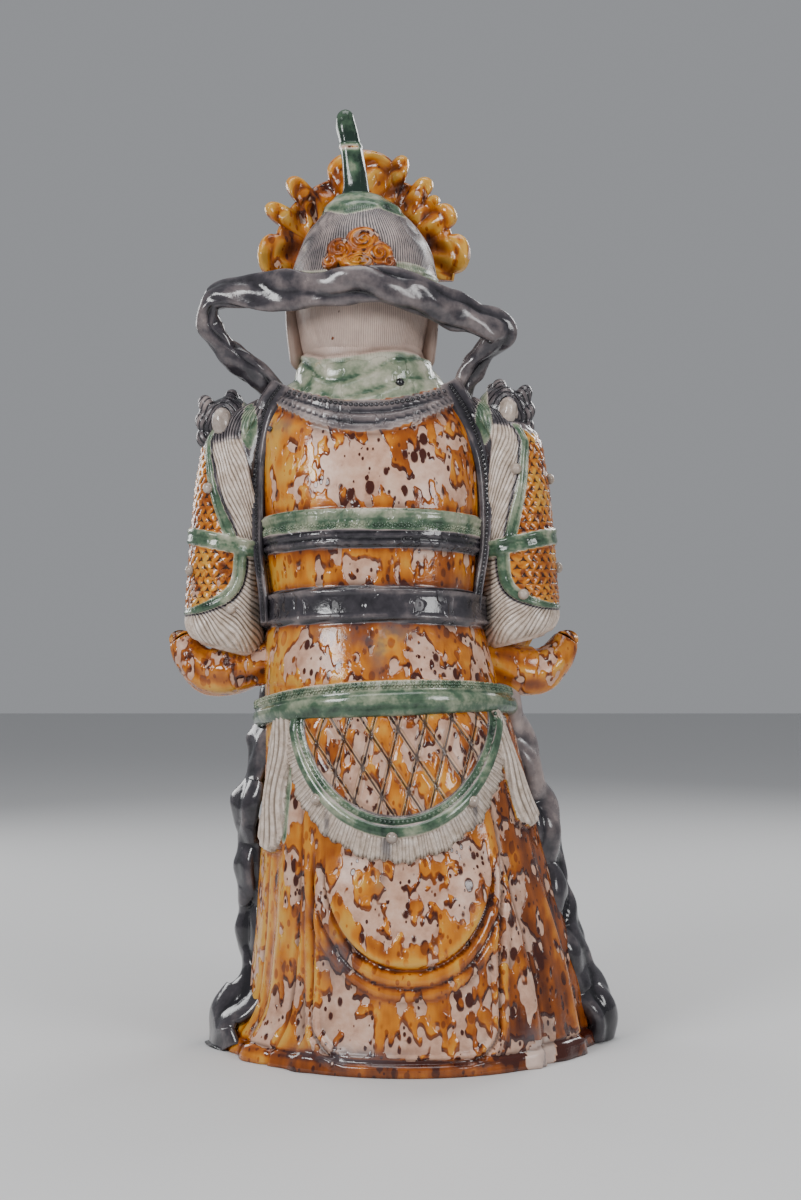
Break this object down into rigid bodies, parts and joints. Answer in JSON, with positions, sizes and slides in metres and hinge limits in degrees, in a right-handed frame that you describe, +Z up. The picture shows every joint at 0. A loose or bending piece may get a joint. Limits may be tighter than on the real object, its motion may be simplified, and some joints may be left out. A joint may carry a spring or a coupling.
{
  "type": "glazed stoneware guandi figure",
  "caption": "Standing armoured Guandi figure in three-colour glazed stoneware: flared robe, banded armour, crested helmet and looped scarf, moulded as one piece on a flat foot.",
  "frame": {"origin": "middle of the flat underside, on the surface the figure stands on", "axes": "+Z up; the figure faces -Y, so its back, which the picture shows, faces +Y; +X is the figure's own left"},
  "size_m": [0.4343, 0.3555, 0.9002],
  "materials": {
    "amber_glazed_stoneware": "glossy amber, green and black lead glazes over a buff-pink body that shows where the glaze has crawled"
  },
  "bodies": {
    "root": {"guandi_figure": "amber_glazed_stoneware"}
  },
  "joints": []
}
